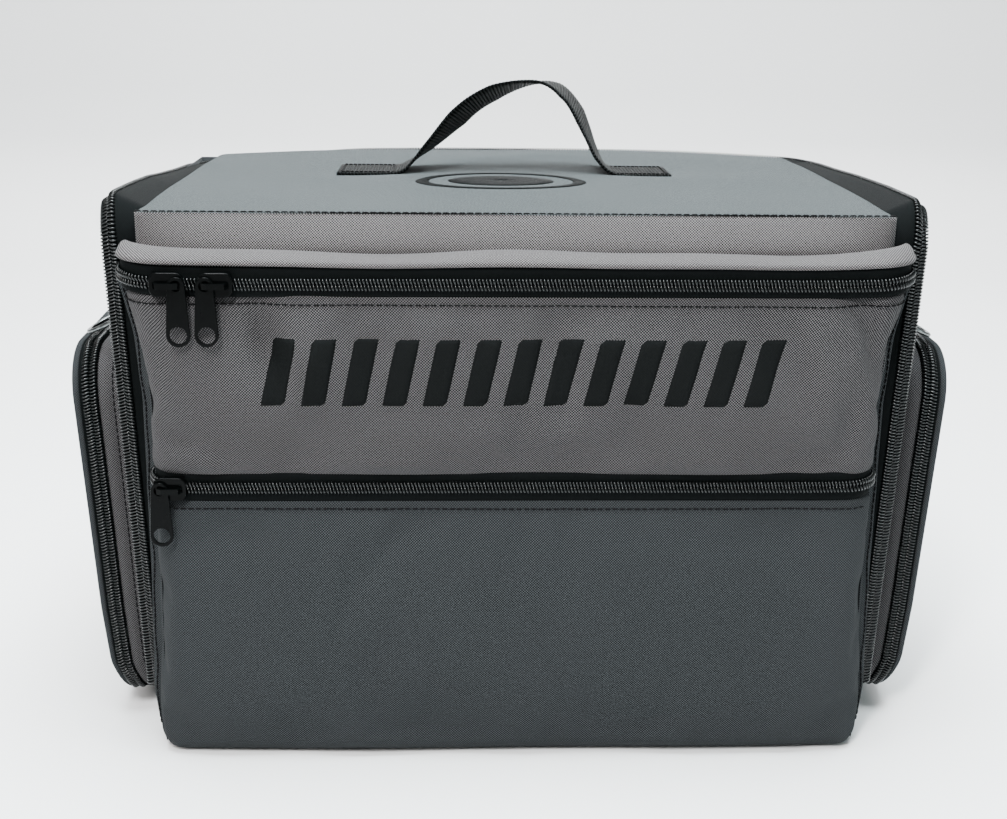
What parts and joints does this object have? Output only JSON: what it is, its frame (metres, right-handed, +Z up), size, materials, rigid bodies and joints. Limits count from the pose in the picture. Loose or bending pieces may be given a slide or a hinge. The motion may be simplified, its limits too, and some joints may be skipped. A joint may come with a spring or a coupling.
{
  "type": "padded battery case",
  "caption": "Soft padded case with a zipped fold-down front and top, outer zip pockets, strap rings and a webbing carrying handle.",
  "frame": {"origin": "centre of the underside of the padded box, on the surface it stands on", "axes": "+X to the right, -Y to the front where the pocket is, +Z up"},
  "size_m": [0.496, 0.3098, 0.363],
  "materials": {
    "shell": "matte",
    "base_fabric": "matte",
    "stiffener": "matte",
    "foam": "matte",
    "liner": "matte",
    "zip": "satin",
    "webbing": "matte",
    "hardware": "satin",
    "ring_steel": "satin"
  },
  "bodies": {
    "case": {"base_cover": "base_fabric", "base_board": "stiffener", "base_pad": "foam", "back_cover": "shell", "back_board": "stiffener", "back_pad": "foam", "left_cover": "shell", "left_board": "stiffener", "left_pad": "foam", "right_cover": "shell", "right_board": "stiffener", "right_pad": "foam", "case_liner": "liner", "case_zip_half": "zip", "left_ring_tab": "webbing", "right_ring_tab": "webbing", "left_pocket_gusset": "shell", "right_pocket_gusset": "shell", "left_pocket_inner_zip_half": "zip", "right_pocket_inner_zip_half": "zip"},
    "lid_front": {"front_cover": "shell", "front_board": "stiffener", "front_pad": "foam", "front_liner": "liner", "front_zip_half": "zip", "pocket_gusset": "shell", "pocket_roof": "shell", "pocket_upper_zip_half": "zip"},
    "pocket_face": {"pocket_upper_face": "shell", "pocket_lower_face": "shell", "pocket_lower_zip_half": "zip", "mid_zip_halves": "zip", "mid_pocket_lining": "liner"},
    "lid_top": {"top_cover": "shell", "top_board": "stiffener", "top_pad": "foam", "top_liner": "liner", "top_zip_half": "zip", "handle_ends": "webbing"},
    "handle": {"handle_webbing": "webbing"},
    "left_ring": {"left_strap_ring": "ring_steel"},
    "right_ring": {"right_strap_ring": "ring_steel"},
    "left_side_cover": {"left_pocket_cover": "shell", "left_pocket_outer_zip_half": "zip"},
    "right_side_cover": {"right_pocket_cover": "shell", "right_pocket_outer_zip_half": "zip"},
    "pocket_outer_slider_body": {"pocket_outer_slider": "hardware"},
    "pocket_outer_pull_body": {"pocket_outer_pull": "hardware"},
    "pocket_inner_slider_body": {"pocket_inner_slider": "hardware"},
    "pocket_inner_pull_body": {"pocket_inner_pull": "hardware"},
    "mid_slider_body": {"mid_slider": "hardware"},
    "mid_pull_body": {"mid_pull": "hardware"},
    "main_left_slider_body": {"main_left_slider": "hardware"},
    "main_left_pull_body": {"main_left_pull": "hardware"},
    "main_right_slider_body": {"main_right_slider": "hardware"},
    "main_right_pull_body": {"main_right_pull": "hardware"},
    "left_side_slider_body": {"left_side_slider": "hardware"},
    "left_side_pull_body": {"left_side_pull": "hardware"},
    "right_side_slider_body": {"right_side_slider": "hardware"},
    "right_side_pull_body": {"right_side_pull": "hardware"}
  },
  "joints": [
    {"name": "lid_open", "type": "hinge", "parent": "case", "child": "lid_front", "pos_m": [0, -0.139, 0.00165], "axis": [1, 0, 0], "range_deg": [0, 72]},
    {"name": "lid_top_fold", "type": "hinge", "parent": "lid_front", "child": "lid_top", "pos_m": [0, -0.125, 0.302], "axis": [1, 0, 0], "range_deg": [0, 90]},
    {"name": "pocket_open", "type": "hinge", "parent": "lid_front", "child": "pocket_face", "pos_m": [0, -0.139, 0.003], "axis": [1, 0, 0], "range_deg": [0, 8]},
    {"name": "handle_tilt", "type": "hinge", "parent": "lid_top", "child": "handle", "pos_m": [0, 0, 0.3115], "axis": [1, 0, 0], "range_deg": [-25, 25]},
    {"name": "left_ring_swing", "type": "hinge", "parent": "case", "child": "left_ring", "pos_m": [-0.214, -0.067, 0.238], "axis": [0, 1, 0], "range_deg": [0, 110]},
    {"name": "right_ring_swing", "type": "hinge", "parent": "case", "child": "right_ring", "pos_m": [0.214, -0.067, 0.238], "axis": [0, -1, 0], "range_deg": [0, 110]},
    {"name": "left_pocket_open", "type": "hinge", "parent": "case", "child": "left_side_cover", "pos_m": [-0.236, 0, 0.013], "axis": [0, -1, 0], "range_deg": [0, 88]},
    {"name": "right_pocket_open", "type": "hinge", "parent": "case", "child": "right_side_cover", "pos_m": [0.236, 0, 0.013], "axis": [0, 1, 0], "range_deg": [0, 88]},
    {"name": "pocket_outer_zip", "type": "slide", "parent": "pocket_face", "child": "pocket_outer_slider_body", "axis": [-1, 0, 0], "range_m": [-0.001, 0.004]},
    {"name": "pocket_inner_zip", "type": "slide", "parent": "pocket_face", "child": "pocket_inner_slider_body", "axis": [1, 0, 0], "range_m": [0, 0.315]},
    {"name": "mid_pocket_zip", "type": "slide", "parent": "pocket_face", "child": "mid_slider_body", "axis": [1, 0, 0], "range_m": [0, 0.35]},
    {"name": "main_left_zip", "type": "slide", "parent": "lid_top", "child": "main_left_slider_body", "axis": [-1, 0, 0], "range_m": [0, 0.165]},
    {"name": "main_right_zip", "type": "slide", "parent": "lid_top", "child": "main_right_slider_body", "axis": [1, 0, 0], "range_m": [0, 0.165]},
    {"name": "left_side_zip", "type": "slide", "parent": "case", "child": "left_side_slider_body", "axis": [0, 0, 1], "range_m": [0, 0.115]},
    {"name": "right_side_zip", "type": "slide", "parent": "case", "child": "right_side_slider_body", "axis": [0, 0, 1], "range_m": [0, 0.115]},
    {"name": "pocket_outer_pull_swing", "type": "hinge", "parent": "pocket_outer_slider_body", "child": "pocket_outer_pull_body", "pos_m": [-0.1695, -0.15775, 0.271], "axis": [0, -1, 0], "range_deg": [-45, 0]},
    {"name": "pocket_inner_pull_swing", "type": "hinge", "parent": "pocket_inner_slider_body", "child": "pocket_inner_pull_body", "pos_m": [-0.1555, -0.15775, 0.271], "axis": [0, -1, 0], "range_deg": [0, 45]},
    {"name": "mid_pull_swing", "type": "hinge", "parent": "mid_slider_body", "child": "mid_pull_body", "pos_m": [-0.185, -0.15232, 0.162], "axis": [0, -1, 0], "range_deg": [-45, 45]},
    {"name": "main_left_pull_swing", "type": "hinge", "parent": "main_left_slider_body", "child": "main_left_pull_body", "pos_m": [-0.009, 0.12532, 0.30232], "axis": [0, 0.7071, 0.7071], "range_deg": [0, 45]},
    {"name": "main_right_pull_swing", "type": "hinge", "parent": "main_right_slider_body", "child": "main_right_pull_body", "pos_m": [0.009, 0.12532, 0.30232], "axis": [0, 0.7071, 0.7071], "range_deg": [-45, 0]},
    {"name": "left_side_pull_swing", "type": "hinge", "parent": "left_side_slider_body", "child": "left_side_pull_body", "pos_m": [-0.236, 0.1004, 0.057], "axis": [0, 1, 0], "range_deg": [-45, 45]},
    {"name": "right_side_pull_swing", "type": "hinge", "parent": "right_side_slider_body", "child": "right_side_pull_body", "pos_m": [0.236, 0.1004, 0.057], "axis": [0, 1, 0], "range_deg": [-45, 45]}
  ]
}
